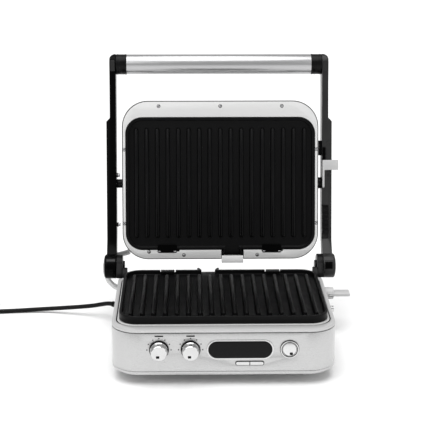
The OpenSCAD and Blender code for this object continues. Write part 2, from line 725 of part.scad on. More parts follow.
module plug_body() color([0.05, 0.05, 0.05]) translate([coil_x - 34.5, coil_y + 36, plug_z]) {
    rotate([-90, 0, 0]) cylinder(r1 = cord_dia / 2 + 0.9, r2 = 8, h = 22);
    translate([0, 22 - eps, 0]) rotate([-90, 0, 0]) linear_extrude(30) rrect(27, 22, 7);
    translate([0, 52 - 2 * eps, 0]) rotate([-90, 0, 0]) linear_extrude(4) rrect(31, 22.4, 7);
}

module plug_pins() color([0.75, 0.68, 0.45]) translate([coil_x - 34.5, coil_y + 92 - 3 * eps, plug_z]) {
    for (s = [-1, 1]) translate([s * 6.35 - 0.75, 0, 0]) cube([1.5, 16, 6.4]);
    translate([0, 0, -4.5]) rotate([-90, 0, 0]) cylinder(r = 2.4, h = 19);
}

base_wrap();
deck_ring();
bottom_pan();
feet();
rear_panel();
lower_reflector();
lower_heater();
lower_thermostat();
lower_plate();
lower_latch_bar();
lower_release_button();
display_trim();
display_window();
display_module();
control_board();
left_small_button();
right_small_button();
start_ring();
start_button();
knob_rings();
rotary_encoders();
left_knob();
right_knob();
left_hinge_bracket();
right_hinge_bracket();
hinge_pins();
flat_release_lever();
drip_tray();
heater_conduit();
conduit_glands();
left_arm();
right_arm();
handle_tube();
handle_collars();
hinge_caps();
lid_lock_tab();
hinge_lock_slider();
lid_pivots();
lid_pivot_bushes();
lid_shell();
lid_bezel();
bezel_screws();
upper_reflector();
upper_heater();
upper_thermostat();
upper_plate();
upper_latch_bar();
upper_spout();
cord_relief();
mains_cord();
cord_coil();
cord_tie();
plug_body();
plug_pins();
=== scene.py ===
"""Contact grill with two ribbed plates: the looks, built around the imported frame.

Metres, X to the right, Y to the back, Z up. The origin is on the worktop, under the lower plate's middle.
"""

import json
import math

import bpy
import bmesh
from mathutils import Matrix, Vector


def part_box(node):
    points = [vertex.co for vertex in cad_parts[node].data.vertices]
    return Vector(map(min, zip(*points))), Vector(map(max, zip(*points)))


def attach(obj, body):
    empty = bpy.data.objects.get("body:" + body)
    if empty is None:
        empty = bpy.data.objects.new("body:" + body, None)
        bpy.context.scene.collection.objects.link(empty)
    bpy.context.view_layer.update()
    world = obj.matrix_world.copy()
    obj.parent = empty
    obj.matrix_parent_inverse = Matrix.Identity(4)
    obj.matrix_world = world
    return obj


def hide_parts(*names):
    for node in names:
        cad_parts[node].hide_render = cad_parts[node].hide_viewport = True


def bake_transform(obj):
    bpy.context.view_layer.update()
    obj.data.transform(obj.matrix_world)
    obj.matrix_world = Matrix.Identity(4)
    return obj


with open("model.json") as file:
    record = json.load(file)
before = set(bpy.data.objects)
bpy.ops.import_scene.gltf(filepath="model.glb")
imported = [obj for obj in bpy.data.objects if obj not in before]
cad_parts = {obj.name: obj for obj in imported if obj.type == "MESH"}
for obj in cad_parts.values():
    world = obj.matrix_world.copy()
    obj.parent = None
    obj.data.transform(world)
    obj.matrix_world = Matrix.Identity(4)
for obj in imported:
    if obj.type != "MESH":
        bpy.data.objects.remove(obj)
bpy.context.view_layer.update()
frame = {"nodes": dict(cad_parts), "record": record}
bpy.ops.object.select_all(action="DESELECT")

MM = 0.001
HINGE = Vector((0, 131, 92)) * MM
OPEN = math.radians(102.5)
FACE_Z = 97 * MM
LID_X = 1.5 * MM
FRONT_Y = -130 * MM
PLATE_W = 300 * MM
PLATE_D = 210 * MM
PLATE_R = 26 * MM
RIM_Z = 95 * MM
SKIRT_H = 11.5 * MM
RIBS = 17
RIB_PITCH = 16.7 * MM
SPOUT_X = 19 * MM
LATCH_X = 82 * MM
LID_W = 311 * MM
LID_D = 251 * MM
LID_R = 41 * MM
LID_MIDDLE = (0, -5.5 * MM)
ARM_INNER = 164 * MM
ARM_Z = 118 * MM
HANDLE_Y = -190 * MM
CONTROL_Z = 54.7 * MM
LEFT_KNOB_X = -92 * MM
RIGHT_KNOB_X = -47.5 * MM
START_X = 92 * MM

# Turns what is built with the lid closed back to the open rest position
OPENED = Matrix.Translation(HINGE) @ Matrix.Rotation(-OPEN, 4, "X") @ Matrix.Translation(-HINGE)
ON_LID = OPENED @ Matrix.Translation((LID_X, 0, 0))


# ---- Camera and light --------------------------------------------------------


CAMERA_PLACE = (-0.05135, -1.82839, 0.74189)
CAMERA_TURN = -1.274
CAMERA_DOWN = 16.091
CAMERA_ROLL = 0.116
CAMERA_LENS = 108.45


def make_camera():
    """Camera in front of the grill, a little above it."""
    data = bpy.data.cameras.new("camera")
    data.sensor_width = 36
    data.lens = CAMERA_LENS
    data.clip_start = 0.05
    data.clip_end = 30
    camera = bpy.data.objects.new("camera", data)
    turn = Matrix.Rotation(math.radians(CAMERA_TURN), 4, "Z")
    tilt = Matrix.Rotation(math.radians(90 - CAMERA_DOWN), 4, "X")
    roll = Matrix.Rotation(math.radians(CAMERA_ROLL), 4, "Z")
    place = Matrix.Translation(CAMERA_PLACE)
    camera.matrix_world = place @ turn @ tilt @ roll
    bpy.context.scene.collection.objects.link(camera)
    bpy.context.scene.camera = camera


def area_light(name, place, aim, size, power):
    """Square soft light at a place, turned towards a point."""
    data = bpy.data.lights.new(name, "AREA")
    data.shape = "RECTANGLE"
    data.size, data.size_y = size
    data.energy = power
    lamp = bpy.data.objects.new(name, data)
    lamp.location = place
    lamp.rotation_euler = (Vector(aim) - Vector(place)).to_track_quat("-Z", "Y").to_euler()
    bpy.context.scene.collection.objects.link(lamp)


def make_light():
    """Soft studio light: a pale room, a wide sun almost overhead and two weak panels in front."""
    world = bpy.data.worlds.new("studio")
    world.use_nodes = True
    background = world.node_tree.nodes["Background"]
    background.inputs["Color"].default_value = (1.0, 1.0, 1.0, 1)
    background.inputs["Strength"].default_value = 0.5
    bpy.context.scene.world = world
    sun = bpy.data.lights.new("soft_sun", "SUN")
    sun.energy = 2.5
    sun.angle = math.radians(60)
    lamp = bpy.data.objects.new("soft_sun", sun)
    lamp.rotation_euler = (math.radians(8), math.radians(-4), 0)
    bpy.context.scene.collection.objects.link(lamp)
    aim = (0, 0, 0.15)
    area_light("key_light", (-1.3, -1.2, 1.5), aim, (1.0, 1.0), 5)
    area_light("fill_light", (1.5, -0.9, 1.0), aim, (0.8, 1.2), 3)
    bpy.context.scene.view_settings.view_transform = "Standard"


def make_floor():
    """Plain pale worktop, one flat plane."""
    bpy.ops.mesh.primitive_plane_add(size=14, location=(0, 0, 0))
    floor = bpy.context.object
    floor.name = "floor"
    bpy.ops.object.select_all(action="DESELECT")
    shade = bpy.data.materials.new("pale_floor")
    shade.use_nodes = True
    shader = shade.node_tree.nodes["Principled BSDF"]
    shader.inputs["Base Color"].default_value = (0.96, 0.96, 0.96, 1)
    shader.inputs["Roughness"].default_value = 0.7
    floor.data.materials.append(shade)


# ---- Materials -----------------------------------------------------------------


class Finish:
    """A procedural material under construction, read from the piece's own coordinates."""

    def __init__(self, name, color, metallic=0.0, roughness=0.5, **sockets):
        self.material = bpy.data.materials.new(name)
        self.material.use_nodes = True
        self.tree = self.material.node_tree
        self.shader = self.tree.nodes["Principled BSDF"]
        self.coordinates = self.tree.nodes.new("ShaderNodeTexCoord").outputs["Object"]
        self.color = color
        self.set("Metallic", metallic)
        self.set("Base Color", (*color, 1))
        self.set("Roughness", roughness)
        for socket, value in sockets.items():
            self.set(socket.replace("_", " "), value)
        self.roughness = roughness

    def set(self, socket, value):
        self.shader.inputs[socket].default_value = value

    def link(self, out, to):
        self.tree.links.new(out, to)

    def mapped(self, scale, turn=(0, 0, 0)):
        """The piece's coordinates, stretched and turned."""
        node = self.tree.nodes.new("ShaderNodeMapping")
        node.inputs["Scale"].default_value = scale
        node.inputs["Rotation"].default_value = turn
        self.link(self.coordinates, node.inputs["Vector"])
        return node.outputs["Vector"]

    def noise(self, scale, detail=3, stretch=(1, 1, 1), turn=(0, 0, 0)):
        node = self.tree.nodes.new("ShaderNodeTexNoise")
        node.inputs["Scale"].default_value = scale
        node.inputs["Detail"].default_value = detail
        self.link(self.mapped(stretch, turn), node.inputs["Vector"])
        return node.outputs["Fac"]

    def spread(self, fac, low, high):
        """A 0 to 1 pattern spread to another range."""
        node = self.tree.nodes.new("ShaderNodeMapRange")
        node.inputs["From Min"].default_value = 0.3
        node.inputs["From Max"].default_value = 0.7
        node.inputs["To Min"].default_value = low
        node.inputs["To Max"].default_value = high
        self.link(fac, node.inputs["Value"])
        return node.outputs["Result"]

    def vary_color(self, fac, amount):
        """Lightens and darkens the base colour with a pattern."""
        ramp = self.tree.nodes.new("ShaderNodeValToRGB")
        low, high = ramp.color_ramp.elements
        low.position, high.position = 0.3, 0.7
        low.color = (*[max(0, c * (1 - amount)) for c in self.color], 1)
        high.color = (*[min(1, c * (1 + amount)) for c in self.color], 1)
        self.link(fac, ramp.inputs["Fac"])
        self.link(ramp.outputs["Color"], self.shader.inputs["Base Color"])

    def vary_roughness(self, fac, amount):
        low, high = self.roughness * (1 - amount), self.roughness * (1 + amount)
        self.link(self.spread(fac, low, high), self.shader.inputs["Roughness"])

    def bump(self, fac, strength, distance):
        node = self.tree.nodes.new("ShaderNodeBump")
        node.inputs["Strength"].default_value = strength
        node.inputs["Distance"].default_value = distance
        self.link(fac, node.inputs["Height"])
        self.link(node.outputs["Normal"], self.shader.inputs["Normal"])


def brushed(name, color, roughness, streaks, stretch, metallic=1.0):
    """Metal brushed in one direction: long fine streaks in colour, roughness and bump."""
    finish = Finish(name, color, metallic=metallic, roughness=roughness)
    fine = finish.noise(streaks, 3, stretch)
    finish.vary_color(fine, 0.02)
    finish.vary_roughness(fine, 0.08)
    finish.bump(fine, 0.06, 0.00001)
    return finish.material


def plain_metal(name, color, roughness, metallic=1.0):
    """Turned or polished metal with faint smudges."""
    finish = Finish(name, color, metallic=metallic, roughness=roughness)
    smudge = finish.noise(45, 4)
    finish.vary_color(smudge, 0.03)
    finish.vary_roughness(smudge, 0.2)
    finish.bump(finish.noise(900, 2), 0.02, 0.000005)
    return finish.material


def moulded(name, color, roughness, grain, depth, gloss=0.3):
    """Moulded plastic, coating or rubber with a fine skin grain; gloss is its specular level."""
    finish = Finish(name, color, roughness=roughness, Specular_IOR_Level=gloss)
    skin = finish.noise(grain, 3)
    finish.vary_color(finish.noise(30, 3), 0.12)
    finish.vary_roughness(finish.noise(60, 3), 0.15)
    finish.bump(skin, 0.35, depth)
    return finish.material


def make_materials():
    """All finishes, by the record's slot names."""
    along_x = (0.02, 1, 1)
    around = (1, 0.02, 0.02)
    return {
        "brushed_steel": brushed("brushed_steel", (0.52, 0.52, 0.52), 0.28, 3200, along_x, 0.85),
        "bezel_steel": brushed("bezel_steel", (0.68, 0.68, 0.677), 0.42, 2800, along_x, 0.15),
        "brushed_aluminium": brushed("brushed_aluminium", (0.46, 0.46, 0.465), 0.33, 4000, around, 0.95),
        "nonstick": moulded("nonstick_coating", (0.0018, 0.0018, 0.002), 0.34, 2600, 0.00003, 0.12),
        "chrome": plain_metal("polished_chrome", (0.62, 0.62, 0.62), 0.17),
        "button_metal": plain_metal("satin_button_metal", (0.66, 0.66, 0.66), 0.24),
        "deck_steel": brushed("deck_steel", (0.54, 0.54, 0.54), 0.36, 3200, along_x, 0.25),
        "spout_steel": plain_metal("polished_spout_steel", (0.85, 0.85, 0.85), 0.3, 0.3),
        "tube_satin": plain_metal("satin_heater_lead", (0.66, 0.66, 0.66), 0.3, 0.4),
        # Lighter copy of the arm black, a painted highlight: for the right arm, lit from its side, and for
        # the lit facets and bars on the arms' ends and drums
        "arm_painted_highlight": moulded("black_arm_painted_highlight", (0.022, 0.022, 0.022), 0.3, 1500, 0.00001, 0.2),
        # Darker, duller copy of the black plastic, painted shade: for gaps, recess floors and seats that lie
        # in shade
        "painted_shade": moulded("painted_shade_black", (0.0008, 0.0008, 0.0008), 0.4, 1500, 0.00001, 0.03),
        "pin_steel": plain_metal("turned_steel", (0.55, 0.55, 0.56), 0.25),
        "brass": plain_metal("plated_brass", (0.75, 0.62, 0.35), 0.22),
        "light_plastic": moulded("light_grey_plastic", (0.50, 0.50, 0.50), 0.4, 1500, 0.00002, 0.4),
        "black_plastic": moulded("satin_black_plastic", (0.003, 0.003, 0.0032), 0.32, 1800, 0.00002, 0.12),
        "arm_black": moulded("gloss_black_arms", (0.0012, 0.0012, 0.0012), 0.22, 1500, 0.00001, 0.04),
        "display_glass": moulded("dark_display_window", (0.002, 0.002, 0.0023), 0.14, 500, 0.000004, 0.15),
        "rubber": moulded("matt_black_rubber", (0.004, 0.004, 0.004), 0.5, 2200, 0.00004, 0.15),
        "heater_sheath": plain_metal("oxidised_heater_sheath", (0.12, 0.11, 0.1), 0.5),
        "ceramic": moulded("thermostat_ceramic", (0.75, 0.72, 0.64), 0.6, 900, 0.00004),
        "electronics": moulded("board_green", (0.05, 0.16, 0.09), 0.45, 700, 0.00003),
    }


# ---- Shaping helpers --------------------------------------------------------------


def deselect():
    bpy.ops.object.select_all(action="DESELECT")


def made(name):
    """Names the primitive just added and gives its mesh the same name."""
    piece = bpy.context.object
    piece.name = name
    piece.data.name = name
    return piece


def only(piece):
    """Makes one piece the selected and active one."""
    deselect()
    piece.select_set(True)
    bpy.context.view_layer.objects.active = piece


def editing(piece, action):
    """Runs an edit-mode job on one piece, with everything deselected first."""
    only(piece)
    bpy.ops.object.mode_set(mode="EDIT")
    bpy.ops.mesh.select_all(action="DESELECT")
    action()
    bpy.ops.object.mode_set(mode="OBJECT")


def pick(piece, kind, test):
    """Selects faces, edges or vertices in edit mode by a test of their middle and normal."""
    bpy.context.tool_settings.mesh_select_mode = (kind == "VERT", kind == "EDGE", kind == "FACE")
    mesh = bmesh.from_edit_mesh(piece.data)
    for face in mesh.faces:
        face.select = False
    for edge in mesh.edges:
        edge.select = False
    for vert in mesh.verts:
        vert.select = False
    if kind == "FACE":
        for face in mesh.faces:
            face.select_set(test(face.calc_center_median(), face.normal))
    elif kind == "EDGE":
        for edge in mesh.edges:
            a, b = edge.verts[0].co, edge.verts[1].co
            edge.select_set(test((a + b) / 2, (b - a).normalized()))
    else:
        for vert in mesh.verts:
            vert.select_set(test(vert.co, vert.normal))
    mesh.select_flush_mode()
    bmesh.update_edit_mesh(piece.data)


def apply_place(piece):
    only(piece)
    bpy.ops.object.transform_apply(location=True, rotation=True, scale=True)


def place_by(piece, matrix):
    """Moves a finished piece by a matrix and puts its place in its mesh."""
    piece.matrix_world = matrix @ piece.matrix_world
    apply_place(piece)


def with_modifier(piece, kind, **settings):
    """Adds a modifier with settings and applies it."""
    only(piece)
    modifier = piece.modifiers.new(kind.lower(), kind)
    for key, value in settings.items():
        setattr(modifier, key, value)
    bpy.ops.object.modifier_apply(modifier=modifier.name)


def rounded(piece, width, segments=2, angle=35):
    """Rounds the sharp edges of a piece."""
    with_modifier(piece, "BEVEL", width=width, segments=segments, limit_method="ANGLE",
                  angle_limit=math.radians(angle), use_clamp_overlap=False, miter_outer="MITER_ARC")


def smoothed(piece, angle=32):
    only(piece)
    bpy.ops.object.shade_smooth_by_angle(angle=math.radians(angle))


def cut(piece, cutter):
    """Cuts one piece out of another and removes the cutter."""
    with_modifier(piece, "BOOLEAN", operation="DIFFERENCE", object=cutter, solver="EXACT")
    bpy.data.objects.remove(cutter)


def joined(pieces, name):
    """Joins pieces into one."""
    deselect()
    for piece in pieces:
        piece.select_set(True)
    bpy.context.view_layer.objects.active = pieces[0]
    bpy.ops.object.join()
    pieces[0].name = name
    pieces[0].data.name = name
    return pieces[0]


def copied(piece, matrix, name):
    """A copy of a piece with its own mesh, moved by a matrix."""
    twin = piece.copy()
    twin.data = piece.data.copy()
    twin.name = name
    bpy.context.scene.collection.objects.link(twin)
    place_by(twin, matrix)
    return twin


def finished(piece, body, slot, *replaced, look=None):
    """Gives a piece its material, its body and the CAD nodes that it stands for."""
    piece.data.materials.clear()
    piece.data.materials.append(MATERIALS[look or slot])
    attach(piece, body)
    if replaced:
        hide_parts(*replaced)
    deselect()
    return piece


def rounded_slab(name, size, radius, z0, z1, middle=(0, 0), steps=10):
    """Slab of a rounded rectangle between two heights, from a plane with rounded corners."""
    bpy.ops.mesh.primitive_plane_add(size=1, location=(middle[0], middle[1], z0))
    piece = made(name)
    piece.scale = (size[0], size[1], 1)
    apply_place(piece)

    def shape():
        pick(piece, "VERT", lambda co, n: True)
        bpy.ops.mesh.bevel(offset=radius, segments=steps, affect="VERTICES", clamp_overlap=False)
        bpy.ops.mesh.select_all(action="SELECT")
        bpy.ops.mesh.extrude_region_move(TRANSFORM_OT_translate={"value": (0, 0, z1 - z0)})
        bpy.ops.mesh.select_all(action="SELECT")
        bpy.ops.mesh.normals_make_consistent(inside=False)

    editing(piece, shape)
    return piece


def block(name, low, high):
    """Box between two corners, as a cutter or a start."""
    middle = [(a + b) / 2 for a, b in zip(low, high)]
    bpy.ops.mesh.primitive_cube_add(size=1, location=middle)
    piece = made(name)
    piece.scale = [b - a for a, b in zip(low, high)]
    apply_place(piece)
    return piece


def drawn(name, points):
    """Open line through points: a plane merged to one vertex, then extruded from point to point."""
    bpy.ops.mesh.primitive_plane_add(size=0.01, location=(0, 0, 0))
    piece = made(name)

    def draw():
        bpy.ops.mesh.select_all(action="SELECT")
        bpy.ops.mesh.merge(type="CENTER")
        bpy.context.tool_settings.mesh_select_mode = (True, False, False)
        bpy.ops.mesh.select_all(action="SELECT")
        bpy.ops.transform.translate(value=points[0])
        for here, there in zip(points, points[1:]):
            step = [b - a for a, b in zip(here, there)]
            bpy.ops.mesh.extrude_vertices_move(TRANSFORM_OT_translate={"value": step})

    editing(piece, draw)
    return piece


def turned(name, profile, place, axis, steps=64):
    """Turned piece: a profile of radius and height spun about an axis through a place."""
    piece = drawn(name, [(r, 0, h) for r, h in profile])

    def spin():
        bpy.ops.mesh.select_all(action="SELECT")
        bpy.ops.mesh.spin(steps=steps, angle=math.tau, center=(0, 0, 0), axis=(0, 0, 1))
        bpy.ops.mesh.select_all(action="SELECT")
        bpy.ops.mesh.remove_doubles(threshold=1e-6)
        bpy.ops.mesh.normals_make_consistent(inside=False)

    editing(piece, spin)
    turn = Vector(axis).to_track_quat("Z", "Y").to_matrix().to_4x4()
    piece.matrix_world = Matrix.Translation(place) @ turn
    apply_place(piece)
    smoothed(piece, 30)
    return piece


def softened(node, width, segments=2, angle=35):
    """Copy of a CAD node with its points merged and its sharp edges rounded."""
    piece = frame["nodes"][node].copy()
    piece.data = piece.data.copy()
    for key in list(piece.keys()):
        del piece[key]
    piece.parent = None
    piece.name = node + "_finish"
    bpy.context.scene.collection.objects.link(piece)

    def merge():
        bpy.ops.mesh.select_all(action="SELECT")
        bpy.ops.mesh.remove_doubles(threshold=2e-6)
        bpy.ops.mesh.dissolve_limited(angle_limit=math.radians(0.5))

    editing(piece, merge)
    only(piece)
    if piece.data.has_custom_normals:
        bpy.ops.mesh.customdata_custom_splitnormals_clear()
    rounded(piece, width, segments, angle)
    smoothed(piece, 30)
    return piece


# ---- Mains cord -----------------------------------------------------------------------

CORD_DIA = 7 * MM
CORD_ROUTE = [(-172, 133.7, 28), (-180, 140.3, 26.2), (-190, 147, 22.6), (-204, 152.5, 18.4),
              (-220, 157.5, 15.1), (-238, 162.5, 12), (-256, 167, 9.3), (-275, 170.8, 6.9),
              (-294, 172.4, 5.3), (-323, 171.5, 3.9), (-358, 168, 3.7), (-385, 166, 4.1),
              (-412, 165.5, 4.4)]
COIL_X, COIL_Y = -412, 207
TAIL_ROUTE = [(-446.5, 219, 11.4), (-446.5, 231, 11.4), (-446.5, 243, 11.4)]


def coil_points():
    """The turns of the coil: one outer turn, two inner ones above each other and a quarter."""
    points = []
    steps = 16
    turns = 3.25
    for i in range(1, int(turns * steps) + 1):
        share = i / steps
        angle = math.radians(270) - share * math.tau
        inward = min(1, max(0, (share - 0.75) / 0.5))
        upward = min(1, max(0, (share - 1.75) / 0.5))
        radius = 41.5 - 7 * inward * inward * (3 - 2 * inward)
        z = 4.4 + 7 * upward * upward * (3 - 2 * upward)
        points.append((COIL_X + radius * math.cos(angle), COIL_Y + radius * math.sin(angle), z))
    return points


def smooth_tube(name, route, radius, sides=6):
    """Round tube along a smooth curve through the route's points, in millimetres."""
    data = bpy.data.curves.new(name, "CURVE")
    data.dimensions = "3D"
    spline = data.splines.new("BEZIER")
    spline.bezier_points.add(len(route) - 1)
    for point, place in zip(spline.bezier_points, route):
        point.co = Vector(place) * MM
        point.handle_left_type = point.handle_right_type = "AUTO"
    data.resolution_u = 6
    data.bevel_depth = radius
    data.bevel_resolution = sides
    data.use_fill_caps = True
    tube = bpy.data.objects.new(name, data)
    bpy.context.scene.collection.objects.link(tube)
    return tube


def make_cord():
    """The lead from the rear corner to its coil and plug, as one smooth tube."""
    route = CORD_ROUTE + coil_points() + TAIL_ROUTE
    cord = smooth_tube("mains_lead", route, CORD_DIA / 2)
    return finished(cord, "base", "rubber", "mains_cord", "cord_coil")


def make_plug():
    """Moulded plug: tapered neck with grip rings, rounded body and a rim in front of the pins."""
    place = [value * MM for value in TAIL_ROUTE[-1]]
    neck = turned("plug_neck", [(0, 0), (4.4 * MM, 0), (5.2 * MM, 6 * MM), (4.6 * MM, 7 * MM),
                                (5.6 * MM, 12 * MM), (5.0 * MM, 13 * MM), (8 * MM, 22.5 * MM),
                                (0, 22.5 * MM)], place, (0, 1, 0), 32)
    body = softened("plug_body", 0.5 * MM, 3, 40)
    plug = joined([body, neck], "plug_moulding")
    return finished(plug, "base", "rubber", "plug_body")


# ---- Cooking plates -------------------------------------------------------------------------


def make_rib():
    """One rib with sloped sides, round ends and a rounded top, lying along Y at the origin."""
    length, width, height = 175 * MM, 7.5 * MM, 5.5 * MM
    bpy.ops.mesh.primitive_cube_add(size=1, location=(0, 0, height / 2))
    rib = made("rib")
    rib.scale = (width, length, height)
    apply_place(rib)

    def shape():
        pick(rib, "EDGE", lambda co, d: abs(d.z) > 0.9)
        bpy.ops.mesh.bevel(offset=width * 0.48, segments=5, affect="EDGES")
        pick(rib, "FACE", lambda co, n: n.z > 0.9)
        bpy.ops.transform.resize(value=(0.66, 0.985, 1), center_override=(0, 0, height))
        pick(rib, "FACE", lambda co, n: n.z > 0.9)
        bpy.ops.mesh.inset(thickness=0.9 * MM, depth=0.55 * MM)
        pick(rib, "FACE", lambda co, n: n.z < -0.9)
        bpy.ops.mesh.delete(type="FACE")

    editing(rib, shape)
    return rib


def spout_outline(half, reach, back, side):
    """Corner points of the drain spout, widening to its mouth."""
    return [(-half, -back), (half, -back), (half, 0), (side, reach), (-side, reach), (-half, 0)]


def prism(name, outline, z0, z1):
    """Upright prism over an outline."""
    piece = drawn(name, [(x, y, z0) for x, y in outline])

    def fill():
        bpy.ops.mesh.select_all(action="SELECT")
        bpy.ops.mesh.edge_face_add()
        bpy.ops.mesh.extrude_region_move(TRANSFORM_OT_translate={"value": (0, 0, z1 - z0)})
        bpy.ops.mesh.select_all(action="SELECT")
        bpy.ops.mesh.normals_make_consistent(inside=False)

    editing(piece, fill)
    return piece


def make_plate(name):
    """Cooking plate face up, its rim at height 0: basin, drain spout, latch recesses and ribs."""
    plate = rounded_slab(name, (PLATE_W, PLATE_D), PLATE_R, -SKIRT_H, 0, steps=12)
    spout = prism("spout", [(-SPOUT_X + x * MM, PLATE_D / 2 + y * MM)
                            for x, y in spout_outline(14, 9, 6, 17.5)], -SKIRT_H + 2 * MM, 0)
    with_modifier(plate, "BOOLEAN", operation="UNION", object=spout, solver="EXACT")
    bpy.data.objects.remove(spout)
    basin = rounded_slab("basin", (PLATE_W - 9 * MM, PLATE_D - 9 * MM), PLATE_R - 4.5 * MM,
                         -6.5 * MM, 5 * MM, steps=12)
    cut(plate, basin)
    channel = prism("channel", [(-SPOUT_X + x * MM, PLATE_D / 2 + y * MM)
                                for x, y in spout_outline(10.5, 10, 8, 14.5)], -6.5 * MM, 5 * MM)
    cut(plate, channel)
    under = rounded_slab("under", (PLATE_W - 6 * MM, PLATE_D - 6 * MM), PLATE_R - 3 * MM,
                         -SKIRT_H - 5 * MM, -SKIRT_H + 1.5 * MM, steps=12)
    cut(plate, under)
    for side in (-1, 1):
        x = side * LATCH_X
        y = PLATE_D / 2
        recess = block("recess", (x - 12 * MM, y - 10 * MM, -3.5 * MM), (x + 12 * MM, y + 1 * MM, 5 * MM))
        cut(plate, recess)
    rounded(plate, 0.9 * MM, 3, 40)
    rib = make_rib()
    ribs = []
    for i in range(RIBS):
        x = (i - (RIBS - 1) / 2) * RIB_PITCH
        ribs.append(copied(rib, Matrix.Translation((x, -1 * MM, -7 * MM)), f"rib_{i}"))
    bpy.data.objects.remove(rib)
    plate = joined([plate, *ribs], name)
    smoothed(plate, 40)
    return plate


def make_plates():
    """The lower plate, and the same plate turned over in the lid."""
    lower = make_plate("lower_cooking_plate")
    upper = copied(lower, ON_LID @ Matrix.Translation((0, 0, FACE_Z)) @ Matrix.Rotation(math.pi, 4, "Y"),
                   "upper_cooking_plate")
    place_by(lower, Matrix.Translation((0, 0, RIM_Z)))
    finished(lower, "base", "nonstick", "lower_plate")
    finished(upper, "lid", "nonstick", "upper_plate")


# ---- Lid ---------------------------------------------------------------------------------------


def make_lid_shell():
    """Pressed dome of the lid: the rim's outline carried up and in to a soft flat top."""
    z0 = FACE_Z + 1.6 * MM
    rim = (LID_W + 0.4 * MM, LID_D + 0.4 * MM)
    bpy.ops.mesh.primitive_plane_add(size=1, location=(*LID_MIDDLE, z0))
    shell = made("lid_dome")
    shell.scale = (*rim, 1)
    apply_place(shell)
    # How far each level reaches past the rim, and its height, in millimetres
    stages = [(0.8, 5), (1.0, 12), (0.9, 22), (0.4, 31), (-0.8, 36), (-2.8, 40), (-5.8, 43.2), (-10, 45.5),
              (-15, 46.6), (-21, 47)]

    def shape():
        pick(shell, "VERT", lambda co, n: True)
        bpy.ops.mesh.bevel(offset=LID_R, segments=14, affect="VERTICES", clamp_overlap=False)
        at = z0
        size = rim
        bpy.ops.mesh.select_all(action="SELECT")
        for grow, height in stages:
            z = FACE_Z + height * MM
            now = (LID_W + 2 * grow * MM, LID_D + 2 * grow * MM)
            bpy.ops.mesh.extrude_region_move(TRANSFORM_OT_translate={"value": (0, 0, z - at)})
            bpy.ops.transform.resize(value=(now[0] / size[0], now[1] / size[1], 1),
                                     center_override=(*LID_MIDDLE, z))
            at, size = z, now
        pick(shell, "FACE", lambda co, n: co.z < z0 + 0.1 * MM)
        bpy.ops.mesh.delete(type="ONLY_FACE")
        bpy.ops.mesh.select_all(action="SELECT")
        bpy.ops.mesh.normals_make_consistent(inside=False)

    editing(shell, shape)
    with_modifier(shell, "SOLIDIFY", thickness=1.2 * MM, offset=-1)
    opening = block("opening", (SPOUT_X - 18.6 * MM, 109 * MM, FACE_Z - 1 * MM),
                    (SPOUT_X + 18.6 * MM, 131 * MM, FACE_Z + 15 * MM))
    cut(shell, opening)
    place_by(shell, ON_LID)
    smoothed(shell, 40)
    finished(shell, "lid", "brushed_steel", "lid_shell")


# ---- Controls --------------------------------------------------------------------------------------


def on_panel(x, z, proud=0.0):
    """Stands a piece drawn in X and Y against the front panel, its top facing forward."""
    return Matrix.Translation((x, FRONT_Y - proud, z)) @ Matrix.Rotation(math.pi / 2, 4, "X")


def make_knob(name, x, body, node):
    """Polished knob with a stepped skirt, a domed face and a black pointer mark."""
    r = 12.6 * MM
    z = CONTROL_Z
    profile = [(0, 15.6 * MM), (7.5 * MM, 15.9 * MM), (10.2 * MM, 15.6 * MM), (11.0 * MM, 14.9 * MM),
               (11.3 * MM, 13.6 * MM), (11.4 * MM, 6.4 * MM), (11.9 * MM, 5.4 * MM), (r, 4.6 * MM),
               (r, 2.6 * MM), (12.2 * MM, 1.9 * MM), (0, 1.9 * MM)]
    knob = turned(name, profile, (x, FRONT_Y, z), (0, -1, 0), 64)
    finished(knob, body, "chrome", node)
    mark = rounded_slab(name + "_mark", (4.8 * MM, 3.8 * MM), 0.7 * MM, 0, 0.4 * MM, steps=4)
    rounded(mark, 0.15 * MM, 2)
    place_by(mark, on_panel(x - 1.6 * MM, z - 5 * MM, 15.5 * MM))
    finished(mark, body, "black_plastic")


def make_dial_dots(x):
    """Printed dots round a knob and a small bar above it."""
    z = CONTROL_Z
    reach = 17 * MM
    dots = []
    for angle in (0, 30, 60, 90, 120, 150, 180):
        a = math.radians(angle)
        spot = turned("dot", [(0, 0.12 * MM), (0.8 * MM, 0.12 * MM), (0.95 * MM, 0), (0, 0)],
                      (x + reach * math.cos(a), FRONT_Y, z + reach * math.sin(a)), (0, -1, 0), 12)
        dots.append(spot)
    bar = rounded_slab("bar", (12 * MM, 2 * MM), 0.5 * MM, 0, 0.12 * MM, steps=3)
    place_by(bar, on_panel(x, z + 20.5 * MM))
    dots.append(bar)
    return dots


def make_start_details():
    """Painted shade round the start button, a dark ring in the gap round it and a dark ring at the foot of
    its ring, and the mark on its face.
    """
    place = (START_X, FRONT_Y, CONTROL_Z)
    reach = FRONT_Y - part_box("start_button")[0][1]
    foot_shade = turned("foot_shade_ring", [(12.6 * MM, 0), (13.6 * MM, 0), (13.5 * MM, 0.3 * MM), (12.6 * MM, 0.3 * MM),
                                (12.6 * MM, 0)], place, (0, -1, 0))
    gap_y = FRONT_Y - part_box("start_ring")[0][1]
    gap_shade = turned("gap_shade_ring", [(10.2 * MM, gap_y - 0.5 * MM), (11.7 * MM, gap_y - 0.5 * MM),
                              (11.5 * MM, gap_y + 0.05 * MM), (10.4 * MM, gap_y + 0.05 * MM),
                              (10.2 * MM, gap_y - 0.5 * MM)], place, (0, -1, 0))
    finished(joined([foot_shade, gap_shade], "start_gap_shade"), "base", "black_plastic", look="painted_shade")
    mark = rounded_slab("start_mark", (4.6 * MM, 4 * MM), 1.4 * MM, 0, 0.1 * MM, steps=5)
    place_by(mark, on_panel(START_X + 2.4 * MM, CONTROL_Z - 6.3 * MM, reach))
    finished(mark, "start", "black_plastic")


